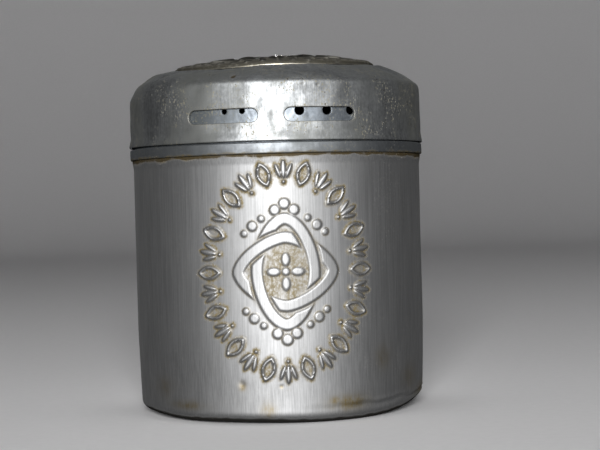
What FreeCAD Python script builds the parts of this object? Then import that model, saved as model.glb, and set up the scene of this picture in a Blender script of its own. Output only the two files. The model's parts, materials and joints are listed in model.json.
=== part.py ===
import FreeCAD, Part
import math
import os

from FreeCAD import Vector

# A pocket tin that shakes out powder, in millimetres.
#
# A seamless drawn can is closed by a head that pushes into its mouth.  The head is a
# closed neck with two groups of sifting holes, and a hoop on it that stops on the can's
# rim.  A slotted cap turns on the neck about a central rivet, to uncover the fine holes,
# the coarse holes, both or none.  A domed medallion hides the rivet's head.
#
# Origin: centre of the plane that the can stands on.  +Z up, front towards -Y.
# Angles round the tin are in degrees from the front, positive towards +X.

# --- driving dimensions ---

can_radius = 30.0           # outside of the can
can_height = 52.4           # rim of the can, where the head stops
can_wall = 0.5              # aluminium sheet of the can
can_corner = 2.2            # rounding between wall and base
rim_flare = 0.25            # how far the rim opens out
rim_flare_height = 2.0
rim_lip = 0.4               # upright edge above the flare

ring_inner_radius = 25.2    # inner edge of the ring the can stands on
base_recess = 1.2           # how far the base is pushed in, inside that ring
recess_slope = 1.0          # radial width of the step into the recess
recess_rounding = 0.6

sheet = 0.45                # aluminium sheet of neck and cap
neck_radius = 29.85         # outside of the neck, under the cap
sleeve_play = 0.06          # between the head's sleeve and the can
sleeve_length = 6.4         # how deep the head reaches into the can
neck_top = 67.0             # top of the neck, round its boss
neck_corner = 2.5
boss_radius = 8.0           # boss in the middle of the neck that carries the rivet
boss_foot_radius = 11.0
boss_top = 69.75
boss_rounding = 1.0

band_radius = 30.65         # hoop on the neck
band_height = 2.2
band_rounding = 0.25

seam_gap = 0.2              # between the hoop and the cap's edge
cap_radius = 30.5
cap_flare = 0.3             # the cap's edge opens out by this much
cap_flare_height = 2.0
cap_lip = 0.4               # upright edge below the flare
cap_bevel_start = 67.1      # where the cap's wall and its bevel would meet
cap_top = 70.9
cap_flat_radius = 23.2      # edge of the flat top, where the bevel starts
cap_shoulder_rounding = 4.0
cap_top_rounding = 1.5

medallion_radius = 21.0
medallion_sheet = 0.4
medallion_edge = 0.7        # height of its upright edge
medallion_height = 2.8      # crown above the cap

rivet_radius = 1.5          # shank
rivet_head_radius = 3.2
rivet_head_height = 1.0
rivet_tail_radius = 2.3     # clinched end
rivet_tail_height = 0.5
rivet_edge_rounding = 0.3
pivot_play = 0.05           # radial play of the shank in the neck
face_play = 0.02            # axial play of each face that turns on another

washer_outer_radius = 4.0
spring_sheet = 0.3
spring_bore_play = 0.15     # radial play of the shank in the spring washer
clinch_washer_height = 0.5

slot_angles = (-22.4, 14.5)         # middles of the two slots in the cap, in degrees
slot_span = 27.3                    # width of a slot, in degrees round the cap
slot_height = 2.7
slot_middle = 59.85                 # height of the slots' centre line
fine_hole_angles = (-21.7, -14.8, -7.9)
fine_hole_radius = 0.525
fine_hole_height = 60.75
coarse_hole_angles = (6.7, 17.3, 27.1)
coarse_hole_radius = 0.9
coarse_hole_height = 60.6

# --- worked out from them ---

sleeve_radius = can_radius - can_wall - sleeve_play
band_top = can_height + band_height
cap_bottom = band_top + seam_gap
cap_underside = cap_top - sheet
boss_underside = boss_top - sheet
tail_top = boss_underside - face_play - clinch_washer_height


# --- helpers ---

def rounded_line(points):
    """An open line in the X-Z plane through (radius, height, rounding) points."""
    corners = [(Vector(r, 0, z), rounding) for r, z, rounding in points]
    edges = []
    start = corners[0][0]
    for index in range(1, len(corners) - 1):
        corner, rounding = corners[index]
        back = (corners[index - 1][0] - corner).normalize()
        ahead = (corners[index + 1][0] - corner).normalize()
        half_angle = back.getAngle(ahead) / 2
        if rounding > 0:
            reach = rounding / math.tan(half_angle)
            to_centre = (back + ahead).normalize()
            depth = rounding / math.sin(half_angle) - rounding
            arc_start = corner + back * reach
            arc_end = corner + ahead * reach
            edges.append(Part.makeLine(start, arc_start))
            edges.append(Part.Arc(arc_start, corner + to_centre * depth, arc_end).toShape())
            start = arc_end
        else:
            edges.append(Part.makeLine(start, corner))
            start = corner
    edges.append(Part.makeLine(start, corners[-1][0]))
    return Part.Wire(edges)


def turned(face):
    """The solid that a face in the X-Z plane sweeps round the tin's axis."""
    return face.revolve(Vector(0, 0, 0), Vector(0, 0, 1), 360)


def sheet_shell(outline, thickness):
    """A turned sheet: the outline is its outer side, and is drawn with the inside on its left."""
    return turned(outline.makeOffset2D(thickness, join=2, fill=True, openResult=True))


def turned_solid(points):
    """A turned solid from (radius, height, rounding) points, closed from the last to the first."""
    outline = rounded_line(points)
    first = Vector(points[0][0], 0, points[0][1])
    last = Vector(points[-1][0], 0, points[-1][1])
    return turned(Part.Face(Part.Wire(outline.Edges + [Part.makeLine(last, first)])))


def radial_hole(radius, height, angle):
    """A round cutter that leaves the axis at this height and points at this angle."""
    reach = neck_radius + sheet
    cutter = Part.makeCylinder(radius, reach, Vector(0, 0, height), Vector(0, -1, 0))
    cutter.rotate(Vector(0, 0, 0), Vector(0, 0, 1), angle)
    return cutter


def radial_slot(width, height, middle, angle):
    """A round-ended cutter, level, that leaves the axis and points at this angle."""
    end = height / 2
    half_straight = width / 2 - end
    top_left = Vector(-half_straight, 0, middle + end)
    top_right = Vector(half_straight, 0, middle + end)
    bottom_right = Vector(half_straight, 0, middle - end)
    bottom_left = Vector(-half_straight, 0, middle - end)
    right_tip = Vector(half_straight + end, 0, middle)
    left_tip = Vector(-half_straight - end, 0, middle)
    outline = Part.Wire([
        Part.makeLine(top_left, top_right),
        Part.Arc(top_right, right_tip, bottom_right).toShape(),
        Part.makeLine(bottom_right, bottom_left),
        Part.Arc(bottom_left, left_tip, top_left).toShape(),
    ])
    cutter = Part.Face(outline).extrude(Vector(0, -cap_radius - sheet, 0))
    cutter.rotate(Vector(0, 0, 0), Vector(0, 0, 1), angle)
    return cutter


# --- the pieces ---

def make_can_body():
    """Drawn cup with a flared rim and a recessed base that leaves a standing ring."""
    outline = rounded_line([
        (0, base_recess, 0),
        (ring_inner_radius - recess_slope, base_recess, recess_rounding),
        (ring_inner_radius, 0, recess_rounding),
        (can_radius, 0, can_corner),
        (can_radius, can_height - rim_flare_height, 0),
        (can_radius + rim_flare, can_height - rim_lip, 0),
        (can_radius + rim_flare, can_height, 0),
    ])
    return sheet_shell(outline, can_wall)


def make_sifter_neck():
    """Closed neck: sleeve, wall with the sifting holes, top and the boss for the rivet."""
    outline = rounded_line([
        (sleeve_radius, can_height - sleeve_length, 0),
        (sleeve_radius, can_height, 0),
        (neck_radius, can_height, 0),
        (neck_radius, neck_top, neck_corner),
        (boss_foot_radius, neck_top, boss_rounding),
        (boss_radius, boss_top, boss_rounding),
        (rivet_radius + pivot_play, boss_top, 0),
    ])
    neck = sheet_shell(outline, sheet)
    holes = [radial_hole(fine_hole_radius, fine_hole_height, angle) for angle in fine_hole_angles]
    holes += [radial_hole(coarse_hole_radius, coarse_hole_height, angle) for angle in coarse_hole_angles]
    return neck.cut(Part.makeCompound(holes))


def make_stop_band():
    """Hoop round the foot of the neck that covers the joint and stops on the rim."""
    return turned_solid([
        (neck_radius, can_height, 0),
        (band_radius, can_height, band_rounding),
        (band_radius, band_top, band_rounding),
        (neck_radius, band_top, 0),
    ])


def make_cap_shell():
    """Cap with a flared edge, a bevelled shoulder, a flat top and two slots."""
    outline = rounded_line([
        (cap_radius + cap_flare, cap_bottom, 0),
        (cap_radius + cap_flare, cap_bottom + cap_lip, 0),
        (cap_radius, cap_bottom + cap_flare_height, 0),
        (cap_radius, cap_bevel_start, cap_shoulder_rounding),
        (cap_flat_radius, cap_top, cap_top_rounding),
        (rivet_radius, cap_top, 0),
    ])
    cap = sheet_shell(outline, sheet)
    slot_width = 2 * cap_radius * math.sin(math.radians(slot_span / 2))
    slots = [radial_slot(slot_width, slot_height, slot_middle, angle) for angle in slot_angles]
    return cap.cut(Part.makeCompound(slots))


def make_top_medallion():
    """Domed disc on top of the cap, hollow over the rivet's head."""
    edge_top = cap_top + medallion_edge
    crown = cap_top + medallion_height
    rise = crown - edge_top
    dome_radius = (medallion_radius ** 2 + rise ** 2) / (2 * rise)
    half_way = medallion_radius / 2
    half_way_height = crown - dome_radius + math.sqrt(dome_radius ** 2 - half_way ** 2)
    foot = Vector(medallion_radius, 0, cap_top)
    edge = Vector(medallion_radius, 0, edge_top)
    dome = Part.Arc(edge, Vector(half_way, 0, half_way_height), Vector(0, 0, crown))
    outline = Part.Wire([Part.makeLine(foot, edge), dome.toShape()])
    return sheet_shell(outline, medallion_sheet)


def make_pivot_rivet():
    """Flat-headed rivet, with its tail clinched under the clinch washer."""
    tail_bottom = tail_top - rivet_tail_height
    head_top = cap_top + rivet_head_height
    return turned_solid([
        (0, tail_bottom, 0),
        (rivet_tail_radius, tail_bottom, rivet_edge_rounding),
        (rivet_tail_radius, tail_top, 0),
        (rivet_radius, tail_top, 0),
        (rivet_radius, cap_top, 0),
        (rivet_head_radius, cap_top, 0),
        (rivet_head_radius, head_top, rivet_edge_rounding),
        (0, head_top, 0),
    ])


def make_spring_washer():
    """Coned washer between boss and cap, which gives the cap its light drag."""
    bore = rivet_radius + spring_bore_play
    top = cap_underside - face_play
    return turned_solid([
        (bore, top - spring_sheet, 0),
        (washer_outer_radius, boss_top, 0),
        (washer_outer_radius, boss_top + spring_sheet, 0),
        (bore, top, 0),
    ])


def make_clinch_washer():
    """Flat washer under the boss that the rivet's tail bears on."""
    return turned_solid([
        (rivet_radius, tail_top, 0),
        (washer_outer_radius, tail_top, 0),
        (washer_outer_radius, tail_top + clinch_washer_height, 0),
        (rivet_radius, tail_top + clinch_washer_height, 0),
    ])


pieces = {
    "can_body": make_can_body,
    "sifter_neck": make_sifter_neck,
    "stop_band": make_stop_band,
    "cap_shell": make_cap_shell,
    "top_medallion": make_top_medallion,
    "pivot_rivet": make_pivot_rivet,
    "spring_washer": make_spring_washer,
    "clinch_washer": make_clinch_washer,
}

os.makedirs("parts", exist_ok=True)
for name, make in pieces.items():
    make().exportStep(f"parts/{name}.step")
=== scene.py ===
import json
import math

import bpy
import numpy as np
from mathutils import Matrix, Vector


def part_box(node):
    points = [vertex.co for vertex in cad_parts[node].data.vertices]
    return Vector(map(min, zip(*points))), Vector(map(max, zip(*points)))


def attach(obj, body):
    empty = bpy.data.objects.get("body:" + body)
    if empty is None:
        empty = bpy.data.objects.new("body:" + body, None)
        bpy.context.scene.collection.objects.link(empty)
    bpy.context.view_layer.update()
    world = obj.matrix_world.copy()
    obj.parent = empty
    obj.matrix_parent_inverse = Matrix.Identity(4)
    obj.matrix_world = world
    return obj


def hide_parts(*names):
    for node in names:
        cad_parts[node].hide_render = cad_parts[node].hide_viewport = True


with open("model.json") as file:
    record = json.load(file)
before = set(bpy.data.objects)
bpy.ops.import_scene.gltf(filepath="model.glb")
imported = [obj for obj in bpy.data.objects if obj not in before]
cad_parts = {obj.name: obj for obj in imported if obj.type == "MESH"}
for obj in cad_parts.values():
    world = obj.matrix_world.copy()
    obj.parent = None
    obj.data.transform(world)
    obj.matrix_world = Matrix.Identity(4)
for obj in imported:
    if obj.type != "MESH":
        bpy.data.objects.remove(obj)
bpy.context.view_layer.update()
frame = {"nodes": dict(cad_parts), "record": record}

# A pocket powder shaker of thin worn aluminium.  Each pressing is a high-resolution mesh
# wound round the tin's axis, with its embossing, dents and pierced edges in the mesh.
# Lengths are in millimetres until a mesh is made.  Angles round the tin are in radians
# from the front (-Y), positive towards +X, but tables and turn_from() take degrees.

MM = 0.001


# --- sizes that come from the frame ---

def box_mm(node):
    low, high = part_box(node)
    return Vector(low) / MM, Vector(high) / MM


mounts = {mount["name"]: mount for mount in frame["record"]["mounts"]}
CAN_RADIUS = mounts["can_wall"]["dims"]["r_mm"]
RIM_RADIUS = box_mm("can_body")[1].x
RIM_HEIGHT = box_mm("can_body")[1].z
BAND_RADIUS = box_mm("stop_band")[1].x
BAND_LOW = box_mm("stop_band")[0].z
BAND_HIGH = box_mm("stop_band")[1].z
NECK_RADIUS = box_mm("sifter_neck")[1].x
SLEEVE_LOW = box_mm("sifter_neck")[0].z
BOSS_TOP = box_mm("sifter_neck")[1].z
CAP_EDGE_RADIUS = box_mm("cap_shell")[1].x
CAP_LOW = box_mm("cap_shell")[0].z
CAP_TOP = box_mm("cap_shell")[1].z
MEDALLION_RADIUS = box_mm("top_medallion")[1].x
CROWN = box_mm("top_medallion")[1].z

# --- sizes of the sheet and of its details, as in the CAD ---

CAN_WALL = 0.5
CAN_CORNER = 2.2
CAN_RECESS = 1.2            # height of the base inside its standing ring
SHEET = 0.45
CAP_RADIUS = CAP_EDGE_RADIUS - 0.3
CAP_HOLE = 1.5
SLEEVE_RADIUS = CAN_RADIUS - CAN_WALL - 0.06
NECK_TOP = 67.0
NECK_HOLE = 1.55
SLOT_ANGLES = (-22.4, 14.5)
SLOT_SPAN = math.radians(27.3)
SLOT_HEIGHT = 2.7
SLOT_MIDDLE = 59.85
FINE_HOLES = (-21.7, -14.8, -7.9)
FINE_RADIUS = 0.525
FINE_HEIGHT = 60.75
COARSE_HOLES = (6.7, 17.3, 27.1)
COARSE_RADIUS = 0.9
COARSE_HEIGHT = 60.6

EMBLEM_MIDDLE = 29.6        # height of the embossed oval's centre

# --- wear, placed by angle in degrees and height ---

# Stains on the can: angle, height, half width, half height and strength.
CAN_STAINS = [
    (24.0, 3.6, 3.6, 1.4, 1.0),
    (18.0, 4.2, 1.2, 0.8, 0.9),
    (-8.0, 2.6, 1.2, 1.5, 0.9),
    (-17.5, 7.6, 0.7, 0.8, 1.0),
    (-42.0, 3.4, 4.0, 1.0, 0.6),
    (-55.0, 6.5, 2.5, 2.0, 0.4),
    (40.0, 12.0, 2.0, 2.5, 0.4),
    (58.0, 7.0, 3.0, 2.5, 0.35),
    (75.0, 3.0, 5.0, 2.0, 0.6),
    (160.0, 4.0, 6.0, 2.0, 0.6),
    (-130.0, 6.0, 4.0, 3.0, 0.4),
    (-2.7, 7.4, 0.35, 0.35, 1.2),
]
# Dents and bulges: angle, height, depth outwards, half width in degrees and half height.
CAN_DENTS = [
    (-17.5, 8.0, -0.12, 1.146, 0.6),
    (-2.7, 7.5, -0.08, 0.688, 0.3),
    (150.0, 20.0, -0.25, 9.167, 6.0),
]
CAP_DENTS = [
    (-80.0, 66.4, -0.40, 22.92, 1.5),
    (-78.0, 69.9, 0.45, 25.78, 1.0),
    (85.0, 69.0, 0.30, 25.78, 1.2),
    (22.0, 68.0, -0.20, 9.17, 2.2),
    (-8.0, 68.0, -0.15, 12.61, 2.2),
    (120.0, 68.0, -0.18, 17.19, 2.2),
]
# Knocks at the foot: angle, share of the deepest one and half width in degrees.
FOOT_KNOCKS = [(84, 1.0, 30), (-72, 0.40, 24), (-22, 0.18, 24), (195, 0.25, 18)]
# Pits on the cap: angle, height and size.
CAP_PITS = [(-18.5, 68.0, 0.5), (8.0, 65.7, 0.28), (13.5, 65.4, 0.3), (32.5, 57.2, 0.3)]
LARGE_PIT = 0.4
PIT_DARK = (1.0, 3.0)       # how dark small and large pits are


# --- small numeric helpers ---

def smooth(low, high, value):
    """0 below low, 1 above high and an even S between."""
    t = np.clip((value - low) / (high - low), 0.0, 1.0)
    return t * t * (3.0 - 2.0 * t)


def bell(value, width):
    return np.exp(-(value / width) ** 2)


def turn_from(angle, degrees):
    """Signed turn from a direction given in degrees, in radians between -pi and pi."""
    return (angle - math.radians(degrees) + math.pi) % (2 * math.pi) - math.pi


def round_bell(angle, degrees, half_width):
    """1 at a direction, falling off round the tin; both it and the half width are in degrees."""
    return bell(turn_from(angle, degrees), math.radians(half_width))


def dented(angle, height, dents):
    """Sum of the dents and bulges in a table, in mm outwards."""
    lift = np.zeros(len(angle))
    for degrees, middle, depth, half_width, half_height in dents:
        lift += depth * round_bell(angle, degrees, half_width) * bell(height - middle, half_height)
    return lift


def ripple(angle, height, longest, shortest, seed, count=24):
    """Soft random waves round and along the tin, about 1 high, with lengths in mm."""
    rng = np.random.default_rng(seed)
    total = np.zeros(np.broadcast(angle, height).shape)
    for _ in range(count):
        length = math.exp(rng.uniform(math.log(shortest), math.log(longest)))
        direction = rng.uniform(0, 2 * math.pi)
        around = round(2 * math.pi * CAN_RADIUS * math.cos(direction) / length)
        upward = 2 * math.pi * math.sin(direction) / length
        total += np.cos(around * angle + upward * height + rng.uniform(0, 2 * math.pi))
    return total / math.sqrt(count / 2)


def graded(start, end, spacing):
    """Places from start to end, with gaps that follow spacing(place)."""
    places = [start]
    while places[-1] < end:
        places.append(places[-1] + spacing(places[-1]))
    places = np.array(places)
    return start + (places - start) * (end - start) / (places[-1] - start)


def ring_angles(fine_half, fine, coarse, easing=math.radians(25)):
    """Angles right round the tin: fine steps near the front, coarse at the back."""
    def spacing(angle):
        return fine + (coarse - fine) * float(smooth(fine_half, fine_half + easing, angle))
    right = graded(0.0, math.pi, spacing)
    return np.concatenate([-right[-2:0:-1], right])


# --- outlines in the radius-height plane ---

ARC_STEPS = 10


def rounded_outline(points):
    """Dense radii and heights of a line through (radius, height, rounding) points."""
    corners = [np.array(point[:2], float) for point in points]
    dense = [corners[0]]
    for before, corner, after, (_, _, rounding) in zip(corners, corners[1:], corners[2:], points[1:]):
        back = (before - corner) / np.linalg.norm(before - corner)
        ahead = (after - corner) / np.linalg.norm(after - corner)
        half_angle = math.acos(np.clip(back @ ahead, -1, 1)) / 2
        if rounding == 0 or half_angle > math.radians(89.9):
            dense.append(corner)
            continue
        reach = rounding / math.tan(half_angle)
        centre = corner + (back + ahead) / np.linalg.norm(back + ahead) * rounding / math.sin(half_angle)
        start = corner + back * reach - centre
        end = corner + ahead * reach - centre
        sweep = math.pi - 2 * half_angle
        for step in range(ARC_STEPS + 1):
            share = step / ARC_STEPS
            arm = (math.sin((1 - share) * sweep) * start + math.sin(share * sweep) * end) / math.sin(sweep)
            dense.append(centre + arm)
    dense.append(corners[-1])
    dense = np.array(dense)
    return dense[:, 0], dense[:, 1]


class Profile:
    """An outline walked by distance, with the tin's outside on its right."""

    def __init__(self, radii, heights):
        steps = np.hypot(np.diff(radii), np.diff(heights))
        keep = np.concatenate([[True], steps > 1e-6])
        self.radii = radii[keep]
        self.heights = heights[keep]
        steps = np.hypot(np.diff(self.radii), np.diff(self.heights))
        self.stations = np.concatenate([[0.0], np.cumsum(steps)])
        self.length = self.stations[-1]

    def place(self, station):
        """Radius and height at each station."""
        radius = np.interp(station, self.stations, self.radii)
        return radius, np.interp(station, self.stations, self.heights)

    def at(self, station, reach=0.02):
        """Radius, height and outward normal at each station."""
        radius, height = self.place(station)
        ahead_r, ahead_z = self.place(np.minimum(station + reach, self.length))
        behind_r, behind_z = self.place(np.maximum(station - reach, 0.0))
        along_r = ahead_r - behind_r
        along_z = ahead_z - behind_z
        size = np.hypot(along_r, along_z)
        return radius, height, along_z / size, -along_r / size

    def station_near(self, radius, height, after=0.0):
        fine = np.linspace(after, self.length, 20001)
        r, z = self.place(fine)
        return fine[np.argmin(np.hypot(r - radius, z - height))]

    def rows(self, stops):
        """Stations through (radius, height, step) stops, with each step used up to the next stop."""
        places = []
        for radius, height, _ in stops:
            places.append(self.station_near(radius, height, places[-1] if places else 0.0))
        rows = []
        for start, end, (_, _, step) in zip(places, places[1:], stops):
            count = max(1, round((end - start) / step))
            rows.append(np.linspace(start, end, count, endpoint=False))
        return np.concatenate(rows + [[places[-1]]])


def thick_outline(radii, heights, thickness):
    """The outline, a rounded lip at its end, and the way back on the sheet's inner side."""
    outer = Profile(radii, heights)
    r, z, normal_r, normal_z = outer.at(outer.stations)
    middle = np.array([r[-1] - normal_r[-1] * thickness / 2, z[-1] - normal_z[-1] * thickness / 2])
    normal = np.array([normal_r[-1], normal_z[-1]])
    along = np.array([-normal_z[-1], normal_r[-1]])
    turns = np.linspace(0, math.pi, ARC_STEPS)[1:-1]
    lip = np.array([middle + thickness / 2 * (math.cos(t) * normal + math.sin(t) * along) for t in turns])
    back_r = (r - normal_r * thickness)[::-1]
    back_z = (z - normal_z * thickness)[::-1]
    back_r[-1] = r[0]
    return np.concatenate([r, lip[:, 0], back_r]), np.concatenate([z, lip[:, 1], back_z])


# --- meshes wound round the axis ---

HOLE_MARGIN = 0.5
EDGE_RINGS = [(0.14, 0.0), (0.08, 0.012), (0.035, 0.05), (0.0, 0.12)]    # (distance from the edge, drop)


class Winding:
    """Vertices as angle, station and drop below the surface, and the faces between them."""

    def __init__(self, angles, stations, radius=CAN_RADIUS, holes=()):
        self.angles = angles
        self.columns = len(angles)
        self.rows = len(stations)
        self.angle = [np.tile(angles, self.rows)]
        self.station = [np.repeat(stations, self.columns)]
        self.drop = [np.zeros(self.rows * self.columns)]
        self.count = self.rows * self.columns
        self.faces = []
        windows = [self.window(hole, stations, radius) for hole in holes]
        for row in range(self.rows - 1):
            for column in range(self.columns):
                inside = any(w[0] <= row < w[1] and w[2] <= column < w[3] for w in windows)
                if not inside:
                    self.faces.append((self.index(row, column), self.index(row, column + 1),
                                       self.index(row + 1, column + 1), self.index(row + 1, column)))
        for hole, window in zip(holes, windows):
            self.add_rings(hole, window, stations, radius)

    def index(self, row, column):
        return row * self.columns + column % self.columns

    def window(self, hole, stations, radius):
        """The first and last row and column of the opening that is left for a hole."""
        angle, station, half_straight, hole_radius = hole
        reach = (half_straight + hole_radius + HOLE_MARGIN) / radius
        up = hole_radius + HOLE_MARGIN
        low = int(np.searchsorted(stations, station - up)) - 1
        high = int(np.searchsorted(stations, station + up))
        left = int(np.searchsorted(self.angles, angle - reach)) - 1
        right = int(np.searchsorted(self.angles, angle + reach))
        return low, high, left, right

    def add_rings(self, hole, window, stations, radius):
        """Rings of faces from the window's border in to the hole's rounded edge."""
        angle, station, half_straight, hole_radius = hole
        low, high, left, right = window
        border = [(low, column) for column in range(left, right)]
        border += [(row, right) for row in range(low, high)]
        border += [(high, column) for column in range(right, left, -1)]
        border += [(row, left) for row in range(high, low, -1)]
        across = np.array([(self.angles[column] - angle) * radius for _, column in border])
        up = np.array([stations[row] - station for row, _ in border])
        spine = np.clip(across, -half_straight, half_straight)
        away = np.hypot(across - spine, up)
        gap = away - hole_radius
        rings = [(gap * 0.7, 0.0), (gap * 0.45, 0.0)] + EDGE_RINGS
        ring = [self.index(row, column) for row, column in border]
        for distance, drop in rings:
            reach = (hole_radius + distance) / away
            self.angle.append(angle + (spine + (across - spine) * reach) / radius)
            self.station.append(station + up * reach)
            self.drop.append(np.full(len(border), drop))
            inner = list(range(self.count, self.count + len(border)))
            self.count += len(border)
            for k in range(len(border)):
                n = (k + 1) % len(border)
                self.faces.append((ring[k], ring[n], inner[n], inner[k]))
            ring = inner

    def close_pole(self, row):
        """Turns a row of vertices that all lie on the axis into one vertex."""
        first = self.index(row, 0)
        same = set(range(first, first + self.columns))
        faces = []
        for face in self.faces:
            corners = tuple(dict.fromkeys(first if vertex in same else vertex for vertex in face))
            if len(corners) > 2:
                faces.append(corners)
        self.faces = faces

    def arrays(self):
        return np.concatenate(self.angle), np.concatenate(self.station), np.concatenate(self.drop)


def wound(profile, angle, station, lift, outward=0.0, upward=0.0):
    """Points lifted off the profile along its normal, then shifted away from the axis and up."""
    radius, height, normal_r, normal_z = profile.at(station)
    radius = radius + normal_r * lift + outward
    height = height + normal_z * lift + upward
    return np.column_stack([radius * np.sin(angle), -radius * np.cos(angle), height])


def thickened(outer, inner, faces):
    """A closed sheet from its outer side, its inner side and the strips that join their borders."""
    count = len(outer)
    edges = set()
    for face in faces:
        edges.update(zip(face, face[1:] + face[:1]))
    borders = [edge for edge in edges if (edge[1], edge[0]) not in edges]
    borders.sort()
    turned_over = [tuple(vertex + count for vertex in reversed(face)) for face in faces]
    strips = [(b, a, a + count, b + count) for a, b in borders]
    return np.vstack([outer, inner]), faces + turned_over + strips


def outer_only(values):
    """A thickened sheet's marks from those of its outer side."""
    return np.concatenate([values, np.zeros(len(values))])


def make_piece(name, points, faces, body, nodes, material, marks=None):
    """A mesh object with float marks on its vertices for the material to read."""
    used = np.unique(np.concatenate([np.array(face) for face in faces]))
    renumber = np.full(len(points), -1)
    renumber[used] = np.arange(len(used))
    mesh = bpy.data.meshes.new(name)
    mesh.from_pydata((points[used] * MM).tolist(), [], [renumber[list(face)].tolist() for face in faces])
    mesh.polygons.foreach_set("use_smooth", [True] * len(mesh.polygons))
    mesh.set_sharp_from_angle(angle=math.radians(55))
    for mark, values in (marks or {}).items():
        layer = mesh.attributes.new(mark, "FLOAT", "POINT")
        layer.data.foreach_set("value", values[used].astype(np.float32))
    mesh.update()
    piece = bpy.data.objects.new(name, mesh)
    bpy.context.scene.collection.objects.link(piece)
    piece.data.materials.append(material)
    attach(piece, body)
    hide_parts(*nodes)
    return piece


# --- ornament ---

def along_segment(x, y, start, end):
    """Share of the way from start to end at the nearest place of the segment, and distance from it."""
    span_x, span_y = end[0] - start[0], end[1] - start[1]
    share = ((x - start[0]) * span_x + (y - start[1]) * span_y) / (span_x ** 2 + span_y ** 2)
    share = np.clip(share, 0.0, 1.0)
    return share, np.hypot(x - start[0] - share * span_x, y - start[1] - share * span_y)


def distance_to_line(x, y, line):
    """Distance from points to an open line of (x, y) corners."""
    best = np.full(x.shape, 1e9)
    for start, end in zip(line, line[1:]):
        best = np.minimum(best, along_segment(x, y, start, end)[1])
    return best


def curve(start, middle, end, steps=8):
    """A bent stroke: a quadratic curve from start to end, drawn towards middle."""
    line = []
    for step in range(steps + 1):
        t = step / steps
        line.append(tuple((1 - t) ** 2 * a + 2 * t * (1 - t) * m + t ** 2 * b
                          for a, m, b in zip(start, middle, end)))
    return line


def leaf_distance(x, y, foot, tip, half_width):
    """Distance from the edge of a leaf that is pointed at its foot and at its tip."""
    share, away = along_segment(x, y, foot, tip)
    return away - half_width * np.sqrt(np.sin(math.pi * share))


def sprig_distance(x, y):
    """Distance from the edge of three leaves that spread from a dot."""
    sprig = leaf_distance(x, y, (0.0, -1.35), (0.0, 2.35), 0.58)
    for side in (-1, 1):
        sprig = np.minimum(sprig, leaf_distance(x, y, (side * 0.5, -1.25), (side * 1.6, 1.5), 0.46))
    return np.minimum(sprig, np.hypot(x, y + 2.0) - 0.36)


BUD_FOOT = (0.0, -2.1)
BUD_TIP = (0.0, 2.2)


def bud_distance(x, y):
    """Distance from the edge of the line that draws a pointed oval."""
    bud = np.full(x.shape, 9.0)
    for side in (-1, 1):
        bud = np.minimum(bud, distance_to_line(x, y, curve(BUD_FOOT, (side * 2.2, 0.0), BUD_TIP)))
    return bud - STROKE


RING_HALF_WIDTH = 15.3      # centre line of the ring of ornament
RING_HALF_HEIGHT = 19.3
RING_COUNT = 28
STROKE = 0.34               # half the width of a stroke at its foot
STROKE_RISE = 0.40


def oval_places(half_width, half_height, count):
    """Evenly spaced places on an oval, each with the direction that points outwards."""
    fine = np.linspace(0, 2 * math.pi, 4001)
    x, y = half_width * np.sin(fine), half_height * np.cos(fine)
    walked = np.concatenate([[0], np.cumsum(np.hypot(np.diff(x), np.diff(y)))])
    turns = np.interp(np.arange(count) * walked[-1] / count, walked, fine)
    for turn in turns:
        out = np.array([math.sin(turn) / half_width, math.cos(turn) / half_height])
        out = out / np.linalg.norm(out)
        yield half_width * math.sin(turn), half_height * math.cos(turn), out


def ring_distance(across, up):
    """Distance from the nearest edge in the ring of sprigs and buds, and 1 inside the buds."""
    nearest = np.full(across.shape, 9.0)
    inside = np.zeros(across.shape)
    reach = 4.0
    for number, (x, y, out) in enumerate(oval_places(RING_HALF_WIDTH, RING_HALF_HEIGHT, RING_COUNT)):
        near = np.hypot(across - x, up - y) < reach
        local_x = (across[near] - x) * out[1] - (up[near] - y) * out[0]
        local_y = (across[near] - x) * out[0] + (up[near] - y) * out[1]
        if number % 2 == 0:
            motif = sprig_distance(local_x, local_y)
        else:
            motif = bud_distance(local_x, local_y)
            inside[near] = smooth(0.0, 0.4, -leaf_distance(local_x, local_y, BUD_FOOT, BUD_TIP, 1.1))
        nearest[near] = np.minimum(nearest[near], motif)
    return nearest, inside


KNOT_BAND = 1.15            # half the width of a strand of the knot
KNOT_RISE = 0.25
KNOT_TALL = (5.6, 10.2)     # half width and half height of the upright loop
KNOT_WIDE = (9.3, 6.6)      # and of the level one
# Beads beside the knot: sideways and upwards from its middle, and radius.
KNOT_BEADS = [(0.0, 13.1, 1.1), (1.85, 11.9, 1.05), (6.3, 8.9, 1.0), (7.9, 7.5, 0.7), (4.5, 10.3, 0.7)]


def loop_distance(across, up, half_width, half_height, power=2.0, steps=120):
    """Distance from the middle line of a closed loop; power above 2 squares it, below points it."""
    turns = np.linspace(0, 2 * math.pi, steps + 1)
    shape_x = np.sign(np.sin(turns)) * np.abs(np.sin(turns)) ** (2 / power) * half_width
    shape_y = np.sign(np.cos(turns)) * np.abs(np.cos(turns)) ** (2 / power) * half_height
    return distance_to_line(across, up, list(zip(shape_x, shape_y)))


def knot_distance(across, up):
    """Distance from the edge of an interlaced knot, with gaps where a strand passes under."""
    tall = loop_distance(across, up, *KNOT_TALL, 1.75) - KNOT_BAND
    wide = loop_distance(across, up, *KNOT_WIDE, 1.5) - KNOT_BAND
    tall_on_top = across * up > 0
    under_gap = 0.42
    tall_cut = np.where(tall_on_top, tall, np.maximum(tall, under_gap - wide))
    wide_cut = np.where(tall_on_top, np.maximum(wide, under_gap - tall), wide)
    knot = np.minimum(tall_cut, wide_cut)
    side, over = np.abs(across), np.abs(up)
    for x, y, size in KNOT_BEADS:
        knot = np.minimum(knot, np.hypot(side - x, over - y) - size)
    flower = np.hypot(across, up) - 0.8
    for along, beside in ((side, over), (over, side)):
        petal = np.hypot((along - 2.35) * 0.62, beside) - 0.85
        flower = np.minimum(flower, petal)
    return np.minimum(knot, flower)


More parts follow.
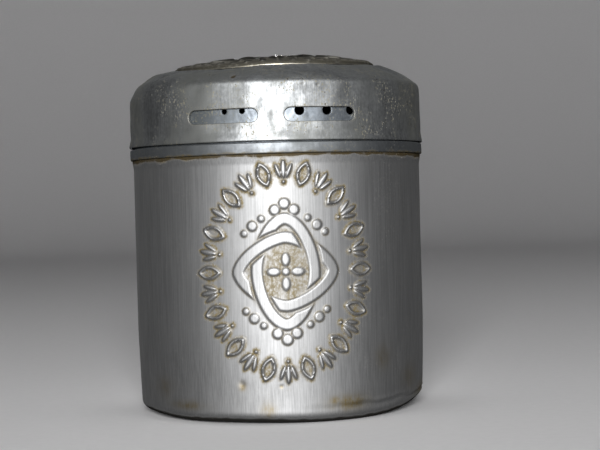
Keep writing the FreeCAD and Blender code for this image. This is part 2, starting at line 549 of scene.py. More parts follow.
def emblem(angle, height):
    """Rise of the embossing on the can, distance from its nearest edge, and how closed in a place is."""
    across = np.where(np.abs(angle) < math.radians(60), angle * CAN_RADIUS, 60.0)
    up = height - EMBLEM_MIDDLE
    near = (np.abs(across) < 22) & (np.abs(up) < 25)
    rise = np.zeros(across.shape)
    edge = np.full(across.shape, 9.0)
    pocket = np.zeros(across.shape)
    ring, inside_bud = ring_distance(across[near], up[near])
    knot = knot_distance(across[near], up[near])
    ridge = 1.0 - smooth(-STROKE, 0.14, ring)
    plateau = 1.0 - smooth(-0.32, 0.14, knot)
    rise[near] = ridge * STROKE_RISE + plateau * KNOT_RISE
    edge[near] = np.minimum(ring, knot)
    inside_knot = 1.0 - smooth(0.75, 0.95, np.hypot(across / KNOT_WIDE[0], up / KNOT_TALL[1]))
    beside_knot = 0.9 - 0.9 * smooth(0.0, 0.4, knot)
    beside_ring = 1.3 - 1.3 * smooth(0.12, 0.80, ring)
    hollows = np.maximum(1.1 * inside_bud, inside_knot[near])
    pocket[near] = np.maximum(np.maximum(beside_ring, beside_knot), hollows)
    pocket = pocket * smooth(-0.15, 0.05, edge)
    return rise, edge, pocket


# --- dents and unevenness ---

def can_unevenness(angle, height):
    """Handling dents of the can's wall, in mm outwards."""
    lift = 0.03 * ripple(angle, height, 60, 22, 3) + 0.008 * ripple(angle, height, 16, 7, 4)
    taper = 0.45
    lift -= taper * (1.0 - smooth(0.0, 24.0, height)) ** 2
    crease_line = 2.9 + 0.3 * ripple(angle, 0.0, 14, 5, 5)
    ridge_line = crease_line + 1.0
    along_crease = round_bell(angle, 58, 26)
    lift -= 0.42 * along_crease * bell(height - crease_line, 0.45)
    lift += 0.20 * along_crease * bell(height - ridge_line, 0.4)
    return lift + dented(angle, height, CAN_DENTS)


def foot_dents(angle, height):
    """How much the foot of the can is knocked in and up, in mm at each place."""
    knock = np.zeros(len(angle))
    for degrees, share, half_width in FOOT_KNOCKS:
        knock += share * round_bell(angle, degrees, half_width)
    knock *= 1.0 - smooth(0.0, 5.5, height)
    most_inward = 0.1
    most_upward = 2.0
    return most_inward * knock, most_upward * knock


def cap_unevenness(angle, height, radius):
    """Dents of the cap, in mm outwards."""
    above_edge = smooth(CAP_LOW + 0.5, CAP_LOW + 3.0, height)
    along = height + radius * 0.5
    lift = 0.05 * ripple(angle, along, 40, 12, 11) + 0.018 * ripple(angle, along, 9, 4, 12)
    lift = lift * above_edge + dented(angle, height, CAP_DENTS)
    for degrees, middle, size in CAP_PITS:
        away = np.hypot(turn_from(angle, degrees) * CAP_RADIUS, height - middle)
        lift -= 0.35 * size * bell(away, size)
        rim = 1.5 * size
        lift += 0.12 * size * bell(away - rim, 0.4 * size)
    return lift


def front_sag(angle, radius):
    """How far the front of the cap's top, and the medallion on it, are pressed down, in mm."""
    forward = radius * np.cos(angle)
    sideways = radius * np.sin(angle)
    front = smooth(4.0, 24.0, forward) * (1.0 - smooth(24.0, 29.5, radius))
    flat = 1.0 - smooth(23.0, 27.0, radius)
    right = smooth(6.0, 22.0, sideways) * flat
    left = smooth(-2.0, 15.0, -sideways) * flat
    front_left = left * smooth(0.0, 12.0, forward)
    return 0.70 * front + 0.10 * right + 0.50 * left + 0.05 * front_left


# --- the pieces ---

def can_profile():
    recess_radius = 24.2
    ring_radius = 25.2
    lip = 0.4
    flare = 2.0
    outer = rounded_outline([
        (0, CAN_RECESS, 0),
        (recess_radius, CAN_RECESS, 0.6),
        (ring_radius, 0, 0.6),
        (CAN_RADIUS, 0, CAN_CORNER),
        (CAN_RADIUS, RIM_HEIGHT - flare, 3.0),
        (RIM_RADIUS, RIM_HEIGHT - lip, 0.5),
        (RIM_RADIUS, RIM_HEIGHT - CAN_WALL / 2, 0),
    ])
    return Profile(*thick_outline(*outer, CAN_WALL))


def can_stain(angle, height):
    stain = np.zeros(len(angle))
    for degrees, middle, half_width, half_height, strength in CAN_STAINS:
        across = turn_from(angle, degrees) * CAN_RADIUS / half_width
        up = (height - middle) / half_height
        stain = np.maximum(stain, strength * bell(np.hypot(across, up), 1.0))
    return stain


def build_can():
    profile = can_profile()
    inner_radius = CAN_RADIUS - CAN_WALL
    inner_floor = CAN_RECESS + CAN_WALL
    fine = 0.2
    stations = profile.rows([
        (0, CAN_RECESS, 4.0),
        (22.5, CAN_RECESS, 0.3),
        (26.3, 0, 0.28),
        (CAN_RADIUS, 4.0, 0.3),
        (CAN_RADIUS, 7.0, fine),
        (CAN_RADIUS, 51.2, 0.12),
        (RIM_RADIUS - CAN_WALL, RIM_HEIGHT - 0.4, 0.5),
        (inner_radius, 48.0, 1.6),
        (inner_radius, 6.0, 0.8),
        (25.0, CAN_WALL, 0.4),
        (22.5, inner_floor, 4.0),
        (0, inner_floor, 1.0),
    ])
    angles = ring_angles(math.radians(36.5), fine / CAN_RADIUS, math.radians(4.5))
    winding = Winding(angles, stations)
    winding.close_pole(0)
    winding.close_pole(winding.rows - 1)
    angle, station, _ = winding.arrays()
    radius, height, _, _ = profile.at(station)
    rise, edge, pocket = emblem(angle, height)
    outside = station < profile.station_near(RIM_RADIUS - CAN_WALL / 2, RIM_HEIGHT)
    wall = smooth(26.0, 29.5, radius)
    inward, upward = foot_dents(angle, height)
    outward = can_unevenness(angle, height) * wall - inward * wall
    points = wound(profile, angle, station, np.where(outside, rise, 0.0), outward, upward)
    ragged = 0.16 * ripple(angle, 0.0, 9, 2, 41) + 0.45 * smooth(0.35, 0.9, np.abs(angle))
    under_hoop = smooth(51.6, 52.1, height + ragged)
    seam = 2.6 * smooth(51.85, 52.15, height + 0.6 * ragged)
    embossed_edge = smooth(-0.22, -0.04, edge) * (0.5 - 0.5 * smooth(0.03, 0.20, edge))
    # wavy height for the painted contact shadow, which reaches higher where the foot is knocked in
    foot_shadow_line = height + 0.06 * ripple(angle, 0.0, 7, 2, 43) - 12.0 * inward
    marks = {
        "relief": rise,
        "wash": np.maximum(pocket, under_hoop),
        "outline": np.maximum(embossed_edge, seam),
        "stain": can_stain(angle, height),
        # painted contact shadow: near black along the lowest millimetre of the foot
        "foot_shadow": 1.0 - smooth(0.60, 1.10, foot_shadow_line),
    }
    marks = {mark: np.where(outside, values, 0.0) for mark, values in marks.items()}
    return make_piece("can_wall_embossed", points, winding.faces, "can", ["can_body"],
                      can_metal(), marks)


def cap_profile(bevel_start, shoulder_rounding):
    flat_radius = 23.2
    flare_height = 2.0
    lip = 0.4
    outer = rounded_outline([
        (CAP_EDGE_RADIUS - 0.12, CAP_LOW, 0),
        (CAP_EDGE_RADIUS, CAP_LOW + 0.12, 0.08),
        (CAP_EDGE_RADIUS, CAP_LOW + lip, 0.3),
        (CAP_RADIUS, CAP_LOW + flare_height, 2.0),
        (CAP_RADIUS - 0.08, bevel_start, shoulder_rounding),
        (flat_radius, CAP_TOP, 1.5),
        (CAP_HOLE, CAP_TOP, 0),
    ])
    return Profile(*outer)


def crease_shift(soft, angle, station):
    """How far the shoulder's points move, out and up, where it is folded sharp and not round."""
    sharp = cap_profile(66.6, 1.2)
    wall, bevel = (CAP_RADIUS, 62.5), (25.0, 69.7)
    soft_start, soft_end = soft.station_near(*wall), soft.station_near(*bevel)
    sharp_start, sharp_end = sharp.station_near(*wall), sharp.station_near(*bevel)
    share = np.clip((station - soft_start) / (soft_end - soft_start), 0.0, 1.0)
    sharp_r, sharp_z, _, _ = sharp.at(sharp_start + share * (sharp_end - sharp_start))
    soft_r, soft_z, _, _ = soft.at(soft_start + share * (soft_end - soft_start))
    folded = smooth(math.radians(-48), math.radians(-22), angle)
    folded = folded * (1.0 - smooth(math.radians(70), math.radians(100), angle))
    return (sharp_r - soft_r) * folded, (sharp_z - soft_z) * folded


def build_cap():
    profile = cap_profile(67.1, 4.0)
    radius = CAP_RADIUS
    stations = profile.rows([
        (CAP_EDGE_RADIUS - 0.12, CAP_LOW, 0.1),
        (CAP_EDGE_RADIUS, CAP_LOW + 0.4, 0.3),
        (radius, CAP_LOW + 3.2, 0.22),
        (radius, SLOT_MIDDLE + 2.7, 0.3),
        (radius, 65.0, 0.22),
        (28.0, 68.6, 0.3),
        (22.6, CAP_TOP, 0.45),
        (20.4, CAP_TOP, 2.5),
        (CAP_HOLE, CAP_TOP, 1.0),
    ])
    angles = ring_angles(math.radians(42), 0.26 / radius, math.radians(1.6))
    half_straight = SLOT_SPAN * radius / 2 - SLOT_HEIGHT / 2
    middle = profile.station_near(radius, SLOT_MIDDLE)
    slots = [(math.radians(slot), middle, half_straight, SLOT_HEIGHT / 2) for slot in SLOT_ANGLES]
    winding = Winding(angles, stations, radius, slots)
    angle, station, drop = winding.arrays()
    r, z, _, _ = profile.at(station)
    dents = cap_unevenness(angle, z, r)
    fold_out, fold_up = crease_shift(profile, angle, station)
    edge_lift = 0.22 * round_bell(angle, -80, 38) + 0.10 * round_bell(angle, 130, 30)
    fold_up = fold_up + edge_lift * (1.0 - smooth(CAP_LOW, CAP_LOW + 3.0, z)) - front_sag(angle, r)
    outer = wound(profile, angle, station, dents - drop, fold_out, fold_up)
    inner = wound(profile, angle, station, dents * 0.6 - SHEET, fold_out, fold_up)
    points, faces = thickened(outer, inner, winding.faces)
    count = len(angle)
    edge = np.full(count, 9.0)
    for slot in SLOT_ANGLES:
        across = turn_from(angle, slot) * radius
        spine = np.clip(across, -half_straight, half_straight)
        edge = np.minimum(edge, np.hypot(across - spine, z - SLOT_MIDDLE) - SLOT_HEIGHT / 2)
    round_medallion = bell(r - MEDALLION_RADIUS, 0.32)
    wash = np.maximum(0.8 * round_medallion, 0.35 * (1.0 - smooth(0.0, 0.5, edge)))
    pitted = np.zeros(count)
    for degrees, pit_height, size in CAP_PITS:
        away = np.hypot(turn_from(angle, degrees) * radius, z - pit_height)
        pitted = np.maximum(pitted, PIT_DARK[size > LARGE_PIT] * bell(away, 0.8 * size))
    marks = {"wash": outer_only(wash), "outline": outer_only(pitted)}
    return make_piece("cap_pressing", points, faces, "cap", ["cap_shell"], cap_metal(), marks)


def neck_profile():
    corner = 2.5
    boss_foot = 11.0
    boss = 8.0
    outer = rounded_outline([
        (SLEEVE_RADIUS - 0.1, SLEEVE_LOW, 0),
        (SLEEVE_RADIUS, SLEEVE_LOW + 0.3, 0.3),
        (SLEEVE_RADIUS, RIM_HEIGHT, 0.12),
        (NECK_RADIUS, RIM_HEIGHT, 0.12),
        (NECK_RADIUS, NECK_TOP, corner),
        (boss_foot, NECK_TOP, 1.0),
        (boss, BOSS_TOP, 1.0),
        (NECK_HOLE, BOSS_TOP, 0),
    ])
    return Profile(*outer)


def build_neck():
    profile = neck_profile()
    stations = profile.rows([
        (SLEEVE_RADIUS - 0.1, SLEEVE_LOW, 0.15),
        (SLEEVE_RADIUS, SLEEVE_LOW + 0.6, 0.6),
        (SLEEVE_RADIUS, RIM_HEIGHT - 0.4, 0.08),
        (NECK_RADIUS, RIM_HEIGHT + 0.3, 0.6),
        (NECK_RADIUS, 58.0, 0.2),
        (NECK_RADIUS, 63.4, 0.35),
        (26.0, NECK_TOP, 1.2),
        (12.0, NECK_TOP, 0.3),
        (6.5, BOSS_TOP, 1.0),
        (NECK_HOLE, BOSS_TOP, 1.0),
    ])
    angles = ring_angles(math.radians(36), 0.22 / NECK_RADIUS, math.radians(2.0))
    holes = []
    for degrees, height, hole_radius in ((FINE_HOLES, FINE_HEIGHT, FINE_RADIUS),
                                         (COARSE_HOLES, COARSE_HEIGHT, COARSE_RADIUS)):
        station = profile.station_near(NECK_RADIUS, height)
        holes += [(math.radians(hole), station, 0.0, hole_radius) for hole in degrees]
    winding = Winding(angles, stations, NECK_RADIUS, holes)
    angle, station, drop = winding.arrays()
    _, height, _, _ = profile.at(station)
    dents = 0.02 * ripple(angle, height, 30, 10, 21) * smooth(56.0, 58.0, height)
    outer = wound(profile, angle, station, dents - drop)
    inner = wound(profile, angle, station, dents - SHEET)
    points, faces = thickened(outer, inner, winding.faces)
    return make_piece("neck_pressing", points, faces, "head", ["sifter_neck"], neck_metal())


def build_band():
    """A closed hoop whose section is a thin strip with rounded outer edges."""
    inner = NECK_RADIUS
    width = BAND_RADIUS - inner
    section = rounded_outline([
        (inner, BAND_LOW, 0),
        (BAND_RADIUS - 0.04, BAND_LOW, 0.22),
        (BAND_RADIUS, (BAND_LOW + BAND_HIGH) / 2, 0.0),
        (BAND_RADIUS - 0.03, BAND_HIGH, 0.28),
        (inner, BAND_HIGH, 0),
        (inner, BAND_LOW, 0),
    ])
    profile = Profile(*section)
    stations = profile.rows([
        (inner + 0.001, BAND_LOW, width / 2),
        (BAND_RADIUS - 0.3, BAND_LOW, 0.08),
        (BAND_RADIUS - 0.02, BAND_LOW + 0.35, 0.25),
        (BAND_RADIUS - 0.02, BAND_HIGH - 0.4, 0.08),
        (BAND_RADIUS - 0.35, BAND_HIGH, width / 2),
        (inner + 0.001, BAND_HIGH, 1.1),
    ])
    stations[0] = 0.0
    angles = ring_angles(math.radians(90), math.radians(0.9), math.radians(2.0))
    winding = Winding(angles, stations)
    last = winding.rows - 1
    closing = []
    for column in range(winding.columns):
        closing.append((winding.index(last, column), winding.index(last, column + 1),
                        winding.index(0, column + 1), winding.index(0, column)))
    angle, station, _ = winding.arrays()
    radius, height, _, _ = profile.at(station)
    outward = smooth(inner + 0.2, BAND_RADIUS, radius)
    dents = 0.03 * ripple(angle, 0.0, 30, 9, 31) + 0.012 * ripple(angle, height, 6, 2.5, 32)
    points = wound(profile, angle, station, 0.0)
    stretch = 1.0 + dents * outward / radius
    points[:, 0] *= stretch
    points[:, 1] *= stretch
    ragged = 0.12 * ripple(angle, 0.0, 9, 2, 33)
    low_edge = 1.0 - smooth(0.1, 0.45, height - BAND_LOW + ragged)
    marks = {"wash": low_edge, "outline": low_edge * 0.5}
    return make_piece("stop_hoop", points, winding.faces + closing, "head", ["stop_band"],
                      band_metal(), marks)


def leaf(across, along, length, half_width):
    """A domed leaf with a vein, 1 high at most, that grows from along 0 to its length."""
    share = np.clip(along / length, 0.0, 1.0)
    width = half_width * np.sin(math.pi * share ** 0.8) ** 0.7 + 1e-6
    dome = np.clip(1.0 - (across / width) ** 2, 0.0, 1.0)
    inside = (along > 0) & (along < length)
    return np.where(inside, np.sqrt(dome) * (1.0 - 0.45 * bell(across, 0.16)), 0.0)


def petal_ring(radius, angle, count, start, length, half_width, shift=0.0):
    """Leaves that point outwards, evenly round the medallion."""
    step = 2 * math.pi / count
    turn = (angle - shift + step / 2) % step - step / 2
    return leaf(radius * np.sin(turn), radius * np.cos(turn) - start, length, half_width)


def rosette(angle, radius):
    """Rise of the medallion's relief: a flower, a ring of beads, leaves and a rim."""
    rise = 0.60 * np.sqrt(np.clip(1.0 - (radius / 1.9) ** 2, 0.0, 1.0))
    rise = np.maximum(rise, 0.60 * petal_ring(radius, angle, 8, 2.1, 5.4, 1.75))
    rise = np.maximum(rise, 0.36 * petal_ring(radius, angle, 8, 4.2, 4.4, 1.3, math.pi / 8))
    beads = 30
    step = 2 * math.pi / beads
    turn = (angle + step / 2) % step - step / 2
    bead = np.clip(1.0 - np.hypot(radius * np.sin(turn), radius * np.cos(turn) - 9.6) / 0.72, 0.0, 1.0)
    rise = np.maximum(rise, 0.42 * np.sqrt(bead))
    rise = np.maximum(rise, 0.62 * petal_ring(radius, angle, 14, 10.8, 6.6, 1.65))
    rise = np.maximum(rise, 0.48 * petal_ring(radius, angle, 14, 12.6, 5.0, 1.15, math.pi / 14))
    return np.maximum(rise, 0.40 * petal_ring(radius, angle, 40, 18.1, 2.5, 0.95))


def build_medallion():
    edge_top = CAP_TOP + 0.7
    rise = CROWN - 0.58 - edge_top
    dome = (MEDALLION_RADIUS ** 2 + rise ** 2) / (2 * rise)
    spread = np.linspace(MEDALLION_RADIUS - 0.25, 0.0, 60)
    heights = edge_top + rise - dome + np.sqrt(dome ** 2 - spread ** 2)
    foot_r, foot_z = rounded_outline([
        (MEDALLION_RADIUS, CAP_TOP + 0.02, 0),
        (MEDALLION_RADIUS, edge_top, 0.25),
        (spread[0] - 0.2, heights[0] + 0.01, 0),
    ])
    keep = spread < foot_r[-1] - 0.05
    profile = Profile(np.concatenate([foot_r, spread[keep]]), np.concatenate([foot_z, heights[keep]]))
    stations = profile.rows([
        (MEDALLION_RADIUS, CAP_TOP + 0.02, 0.15),
        (MEDALLION_RADIUS, edge_top - 0.1, 0.08),
        (MEDALLION_RADIUS - 0.5, heights[1], 0.2),
        (1.2, heights[-1], 0.3),
        (0, heights[-1], 1.0),
    ])
    angles = np.linspace(-math.pi, math.pi, 430, endpoint=False)
    winding = Winding(angles, stations)
    winding.close_pole(winding.rows - 1)
    angle, station, _ = winding.arrays()
    radius, height, _, normal_z = profile.at(station)
    relief = rosette(angle, radius) * smooth(0.5, 0.9, normal_z)
    battered = 0.06 * ripple(angle, radius, 30, 9, 51) * smooth(0.0, 4.0, MEDALLION_RADIUS - radius)
    sag = front_sag(angle, radius)
    outer = wound(profile, angle, station, relief + battered, 0.0, -sag)
    inner = wound(profile, angle, station, battered - 0.4, 0.0, -sag)
    points, faces = thickened(outer, inner, winding.faces)
    recess = 1.0 - smooth(0.02, 0.28, relief)
    foot = 1.0 - smooth(0.18, 0.32, height - CAP_TOP)
    # the medallion's upright side, which the outline mark paints dark as shade
    side = 1.0 - smooth(0.5, 0.9, normal_z)
    marks = {
        "relief": outer_only(np.maximum(relief, 0.3 * foot)),
        "wash": outer_only(np.maximum(0.3 * recess * (1.0 - side), 0.5 * foot)),
        # outline: grime in the relief's recesses, and painted shade on the upright side
        "outline": outer_only(np.maximum(0.55 * recess, 1.5 * side) * (1.0 - foot)),
    }
    return make_piece("medallion_embossed", points, faces, "cap", ["top_medallion"],
                      medallion_metal(), marks)


# --- materials ---

class Graph:
    """A material's node tree, built with short calls.  Any input may be a socket or a value."""

    def __init__(self, name):
        self.material = bpy.data.materials.new(name)
        self.material.use_nodes = True
        self.tree = self.material.node_tree
        self.tree.nodes.clear()

    def add(self, kind, inputs=None, **settings):
        node = self.tree.nodes.new(kind)
        for setting, value in settings.items():
            setattr(node, setting, value)
        for key, value in (inputs or {}).items():
            if isinstance(value, bpy.types.NodeSocket):
                self.tree.links.new(value, node.inputs[key])
            else:
                node.inputs[key].default_value = value
        return node

    def math(self, operation, first, second=0.0):
        return self.add("ShaderNodeMath", {0: first, 1: second}, operation=operation).outputs[0]

    def times(self, first, *others):
        """The product of two or more values."""
        for other in others:
            first = self.math("MULTIPLY", first, other)
        return first

    def span(self, value, low, high, start=0.0, end=1.0):
        """start below low, end above high and an even S between."""
        node = self.add("ShaderNodeMapRange", {0: value, 1: low, 2: high, 3: start, 4: end},
                        interpolation_type="SMOOTHSTEP")
        return node.outputs[0]

    def mix(self, share, first, second):
        node = self.add("ShaderNodeMix", {0: share, 6: first, 7: second}, data_type="RGBA")
        return node.outputs[2]

    def blend_values(self, share, first, second):
        return self.add("ShaderNodeMix", {0: share, 2: first, 3: second}, data_type="FLOAT").outputs[0]

    def mark(self, name):
        return self.add("ShaderNodeAttribute", attribute_name=name).outputs["Fac"]

    def millimetres(self):
        place = self.add("ShaderNodeTexCoord").outputs["Object"]
        return self.add("ShaderNodeVectorMath", {0: place, 3: 1 / MM}, operation="SCALE").outputs[0]

    def noise(self, place, stretch, detail=2.0, roughness=0.5, shift=0.0):
        """Noise between 0 and 1 with about stretch waves per millimetre along each axis."""
        scaled = self.add("ShaderNodeMapping", {"Vector": place, "Location": (shift, shift * 0.7, -shift),
                                                "Scale": stretch}).outputs[0]
        node = self.add("ShaderNodeTexNoise", {"Vector": scaled, "Scale": 1.0, "Detail": detail,
                                               "Roughness": roughness})
        return node.outputs["Fac"]

    def bump(self, height, distance, strength, normal=None):
        inputs = {"Height": height, "Distance": distance * MM, "Strength": strength}
        if normal is not None:
            inputs["Normal"] = normal
        return self.add("ShaderNodeBump", inputs).outputs[0]

    def finish(self, shader):
        output = self.add("ShaderNodeOutputMaterial")
        self.tree.links.new(shader, output.inputs["Surface"])
        return self.material


CORROSION_TONE = (0.32, 0.29, 0.20, 1.0)
PIT_TONE = (0.05, 0.04, 0.025, 1.0)
STAIN_TONE = (0.270, 0.205, 0.085, 1.0)
WASH_TONE = (0.200, 0.155, 0.066, 1.0)
# near-black colour of the painted contact shadow along the can's foot
FOOT_SHADOW_TONE = (0.014, 0.012, 0.009, 1.0)
MATT_TINT = (0.25, 0.25, 0.25, 1.0)


def with_dirt_and_painted_shade(g, blotches, specks, colour, grime_and_shade_tone):
    """A colour under its stains and dirt, a painted contact shadow along the can's foot and the painted
    shade of the medallion's upright side, and how much of the metal these cover.
    """
    broken = g.times(g.span(blotches, 0.30, 0.60, 0.4, 1.0), g.span(specks, 0.34, 0.62, 0.65, 1.0), 1.2)
    patchy = g.span(blotches, 0.34, 0.60, 0.30, 1.0)
    mealy = g.span(specks, 0.36, 0.60, 0.35, 1.0)
    stain = g.math("MINIMUM", g.times(g.mark("stain"), broken), 0.9)
    wash = g.math("MINIMUM", g.times(g.mark("wash"), patchy, mealy, 0.8), 0.9)
    outline = g.times(g.math("MINIMUM", g.times(g.mark("outline"), patchy), 1.0), 0.9)
    # painted contact shadow: the near-black band along the can's foot
    foot_shadow = g.times(g.mark("foot_shadow"), 0.96)
    colour = g.mix(stain, colour, STAIN_TONE)
    colour = g.mix(wash, colour, WASH_TONE)
    colour = g.mix(outline, colour, (*grime_and_shade_tone, 1.0))
    colour = g.mix(foot_shadow, colour, FOOT_SHADOW_TONE)
    return colour, g.math("MAXIMUM", g.math("MAXIMUM", wash, outline), foot_shadow)


def aged_aluminium(name, tone, roughness, streaks, tarnish, spots, polish=0.02,
                   grime_and_shade_tone=(0.058, 0.040, 0.013)):
    """Worn sheet aluminium: upright brush lines, cloudy tarnish, corroded spots, scratches, dirt and
    painted shade.
    """
    g = Graph(name)
    place = g.millimetres()
    lines = g.noise(place, (6.0, 6.0, 0.06), 3.0, 0.6)
    hairlines = g.noise(place, (9.0, 9.0, 0.16), 2.0, 0.6, 3.0)
    long_marks = g.noise(place, (1.2, 1.2, 0.03), 2.0, 0.5, 9.0)
    clouds = g.noise(place, (0.10, 0.10, 0.07), 5.0, 0.6, 17.0)
    blotches = g.noise(place, (0.45, 0.45, 0.28), 5.0, 0.62, 31.0)
    patches = g.noise(place, (0.17, 0.17, 0.17), 3.0, 0.6, 63.0)
    specks = g.noise(place, (1.7, 1.7, 1.4), 4.0, 0.65, 47.0)
    grains = g.noise(place, (3.0, 3.0, 2.0), 2.0, 0.5, 71.0)
    clustered = g.times(g.span(patches, 0.45, 0.58), spots)
    corroded = g.times(g.span(grains, 0.57, 0.66), clustered)
    pitted = g.times(g.span(specks, 0.62, 0.68), clustered)

    light = g.times(
        g.span(lines, 0.3, 0.7, 1.0 - 0.18 * streaks, 1.0 + 0.14 * streaks),
        g.span(blotches, 0.3, 0.7, 1.0 - 0.36 * tarnish, 1.0 + 0.20 * tarnish),
        g.span(specks, 0.35, 0.65, 1.0 - 0.16 * tarnish, 1.0 + 0.12 * tarnish),
        g.span(long_marks, 0.70, 0.76, 1.0, 1.0 - 0.20 * streaks),
        g.span(long_marks, 0.22, 0.28, 1.0 + 0.20 * streaks, 1.0),
        g.span(g.mark("relief"), 0.15, 0.35, 1.0, 0.91 + 3.0 * polish),
    )
    bright = g.add("ShaderNodeVectorMath", {0: tone, 3: light}, operation="SCALE").outputs[0]
    dull = (tone[0] * 0.65, tone[1] * 0.645, tone[2] * 0.61, 1.0)
    colour = g.mix(g.times(g.span(clouds, 0.42, 0.66), tarnish), bright, dull)
    colour = g.mix(g.times(corroded, 0.7), colour, CORROSION_TONE)
    colour = g.mix(pitted, colour, PIT_TONE)
    colour, dirt_and_shade = with_dirt_and_painted_shade(g, blotches, specks, colour, grime_and_shade_tone)
    dulled = g.math("MAXIMUM", dirt_and_shade, g.times(corroded, 0.6))

    rough = g.math("ADD", roughness, g.span(clouds, 0.35, 0.65, -0.05 * tarnish, 0.08 * tarnish))
    rough = g.math("ADD", rough, g.span(blotches, 0.3, 0.7, 0.06 * tarnish, -0.06 * tarnish))
    rough = g.math("SUBTRACT", rough, g.span(g.mark("relief"), 0.15, 0.33, 0.0, polish))
    rough = g.blend_values(g.math("MAXIMUM", dirt_and_shade, corroded), rough, 0.75)

    normal = g.bump(lines, 0.02, 0.25 * streaks)
    normal = g.bump(hairlines, 0.008, 0.30 * streaks, normal)
    uneven = g.math("ADD", blotches, g.times(pitted, -0.8))
    uneven = g.math("ADD", uneven, g.times(corroded, 0.12))
    normal = g.bump(uneven, 0.05, 0.12 + 0.25 * tarnish, normal)
    shader = g.add("ShaderNodeBsdfPrincipled", {
        "Base Color": colour, "Metallic": g.math("SUBTRACT", 1.0, g.times(dulled, 0.35)),
        "Roughness": rough, "Normal": normal, "Specular Tint": MATT_TINT,
    })
    return g.finish(shader.outputs[0])


def can_metal():
    return aged_aluminium("worn_can_aluminium", (0.405, 0.407, 0.410), 0.58, 1.0, 0.12, 0.12)


def cap_metal():
    return aged_aluminium("tarnished_cap_aluminium", (0.385, 0.398, 0.405), 0.57, 1.0, 0.95, 1.0)


def neck_metal():
    # darker, bluer tone than the can: cleaner metal, with painted shade for its place inside the cap
    return aged_aluminium("clean_neck_aluminium_painted_shade", (0.270, 0.298, 0.330), 0.56, 0.3, 1.0, 0.8)


def band_metal():
    return aged_aluminium("worn_band_aluminium", (0.255, 0.270, 0.285), 0.58, 0.3, 0.5, 0.5)


def medallion_metal():
    # The grime tone is neutral dark grey: grime in the recesses and painted shade on the upright side.
    return aged_aluminium("embossed_top_aluminium", (0.30, 0.29, 0.26), 0.50, 0.2, 0.6, 0.7,
                          polish=0.20, grime_and_shade_tone=(0.045, 0.041, 0.030))


def plain_metal(name, tone, roughness):
    """Clean turned metal of the hidden pivot: fine grain and light stains."""
    g = Graph(name)
    place = g.millimetres()
    stains = g.noise(place, (0.6, 0.6, 0.6), 4.0, 0.6)
    grain = g.noise(place, (6.0, 6.0, 6.0), 3.0, 0.6, 5.0)
    dull = tuple(part * 0.7 for part in tone) + (1.0,)
    colour = g.mix(g.span(stains, 0.4, 0.65), (*tone, 1.0), dull)
    rough = g.math("ADD", roughness, g.span(stains, 0.35, 0.65, -0.05, 0.12))
    normal = g.bump(grain, 0.02, 0.3)
    shader = g.add("ShaderNodeBsdfPrincipled", {"Base Color": colour, "Metallic": 1.0, "Roughness": rough,
                                                "Normal": normal})
    return g.finish(shader.outputs[0])


def dress_pivot():
    """Materials for the rivet and its washers, which keep their CAD shapes."""
    rivet = plain_metal("rivet_aluminium", (0.62, 0.62, 0.61), 0.35)
    spring = plain_metal("spring_steel", (0.42, 0.41, 0.40), 0.30)
    for node, material in (("pivot_rivet", rivet), ("clinch_washer", rivet), ("spring_washer", spring)):
        mesh = frame["nodes"][node].data
        mesh.materials.clear()
        mesh.materials.append(material)


# --- stage, light and camera ---

TIN_HEIGHT = CROWN * MM
VIEW_TURN = math.radians(-3.2)      # the camera's share of turn round the tin, from the front


def build_floor():
    """A pale round floor whose rim rises in a curve, so that no view shows an edge."""
    flat, bend, top = 1.1, 0.65, 1.2        # radius of the flat part, radius of the curve, height
    bend_steps = 12
    spokes = 96
    outline = [(0.9 * flat, 0.0), (flat, 0.0)]
    for step in range(1, bend_steps + 1):
        turn = step / bend_steps * math.pi / 2
        outline.append((flat + bend * math.sin(turn), bend * (1 - math.cos(turn))))
    outline.append((flat + bend, top))
    turns = [2 * math.pi * spoke / spokes for spoke in range(spokes)]
    points = [(radius * math.cos(turn), radius * math.sin(turn), height)
              for radius, height in outline for turn in turns]
    faces = [tuple(range(spokes))]
    for ring in range(len(outline) - 1):
        for spoke in range(spokes):
            after = (spoke + 1) % spokes
            low, high = ring * spokes, (ring + 1) * spokes
            faces.append((low + after, low + spoke, high + spoke, high + after))
    mesh = bpy.data.meshes.new("pale_sweep")
    mesh.from_pydata(points, [], faces)
    mesh.polygons.foreach_set("use_smooth", [True] * len(mesh.polygons))
    sweep = bpy.data.objects.new("pale_sweep", mesh)
    bpy.context.scene.collection.objects.link(sweep)
    g = Graph("pale_floor")
    place = g.millimetres()
    fibres = g.noise(place, (0.5, 0.5, 0.5), 4.0, 0.6)
    colour = g.mix(fibres, (0.76, 0.755, 0.76, 1.0), (0.83, 0.825, 0.83, 1.0))
    shader = g.add("ShaderNodeBsdfPrincipled", {"Base Color": colour, "Roughness": 0.85})
    mesh.materials.append(g.finish(shader.outputs[0]))
    sweep.visible_glossy = False
    return sweep


def around_view(side, away, height):
    """A place in metres from the tin's foot, as the camera sees it: right, towards the camera and up."""
    right = Vector((math.cos(VIEW_TURN), math.sin(VIEW_TURN), 0))
    towards = Vector((math.sin(VIEW_TURN), -math.cos(VIEW_TURN), 0))
    return right * side + towards * away + Vector((0, 0, height))


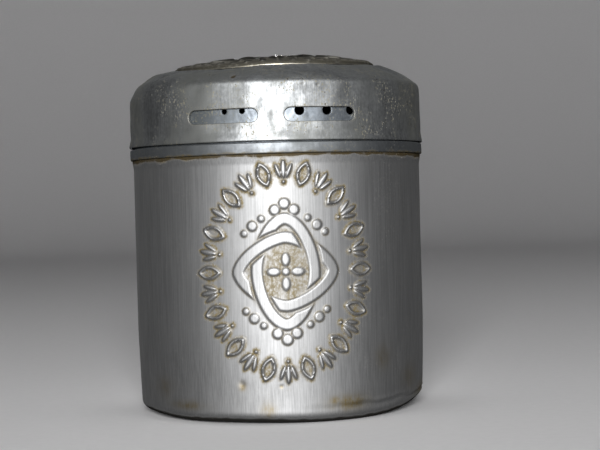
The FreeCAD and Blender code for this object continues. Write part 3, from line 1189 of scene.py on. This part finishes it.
# Area lights: place in around_view(), width and height in metres, and power in watts.
LIGHTS = {
    "front_softbox": ((-0.015, 0.95, 0.24), (0.31, 0.29), 14.3),
    "back_softbox": ((0.0, -0.70, 0.11), (0.12, 0.16), 9.0),
    "top_softbox": ((0.0, -0.15, 0.80), (0.30, 0.30), 0.34),
}
ROOM_LIGHT = (0.031, 0.031, 0.032, 1.0)


def add_area_light(name, place, target, width, height, power):
    data = bpy.data.lights.new(name, "AREA")
    data.shape = "RECTANGLE"
    data.size = width
    data.size_y = height
    data.energy = power
    light = bpy.data.objects.new(name, data)
    light.location = place
    light.rotation_euler = (target - place).to_track_quat("-Z", "Y").to_euler()
    bpy.context.scene.collection.objects.link(light)
    return light


def build_lights(sweep):
    """A soft front light beside the lens, a weaker one straight behind the tin, and a dim room."""
    middle = Vector((0, 0, TIN_HEIGHT / 2))
    lights = {}
    for name, (place, size, power) in LIGHTS.items():
        lights[name] = add_area_light(name, around_view(*place), middle, *size, power)
    lights["front_softbox"].visible_camera = False
    back = lights["back_softbox"]
    back.visible_camera = False
    unlit = bpy.data.collections.new("not_lit_from_behind")
    unlit.objects.link(sweep)
    unlit.collection_objects[0].light_linking.link_state = "EXCLUDE"
    back.light_linking.receiver_collection = unlit
    world = bpy.data.worlds.new("soft_room")
    world.use_nodes = True
    world.node_tree.nodes["Background"].inputs[0].default_value = ROOM_LIGHT
    bpy.context.scene.world = world
    bpy.context.scene.view_settings.view_transform = "Standard"


def build_camera():
    """A long lens at the tin's own height, held very slightly askew."""
    sensor, focal_length = 36.0, 93.0
    right, away, height = 0.00463, 0.328, 0.0425
    data = bpy.data.cameras.new("camera")
    data.sensor_width = sensor
    data.lens = focal_length
    data.clip_start = 0.01
    camera = bpy.data.objects.new("camera", data)
    pitch = math.radians(-0.77)
    roll = math.radians(-1.55)
    place = around_view(right, away, height)
    turn = Matrix.Rotation(VIEW_TURN, 4, "Z") @ Matrix.Rotation(math.pi / 2 + pitch, 4, "X")
    camera.matrix_world = Matrix.Translation(place) @ turn @ Matrix.Rotation(roll, 4, "Z")
    bpy.context.scene.collection.objects.link(camera)
    bpy.context.scene.camera = camera


# --- everything together ---

build_can()
build_neck()
build_band()
build_cap()
build_medallion()
dress_pivot()
build_lights(build_floor())
build_camera()
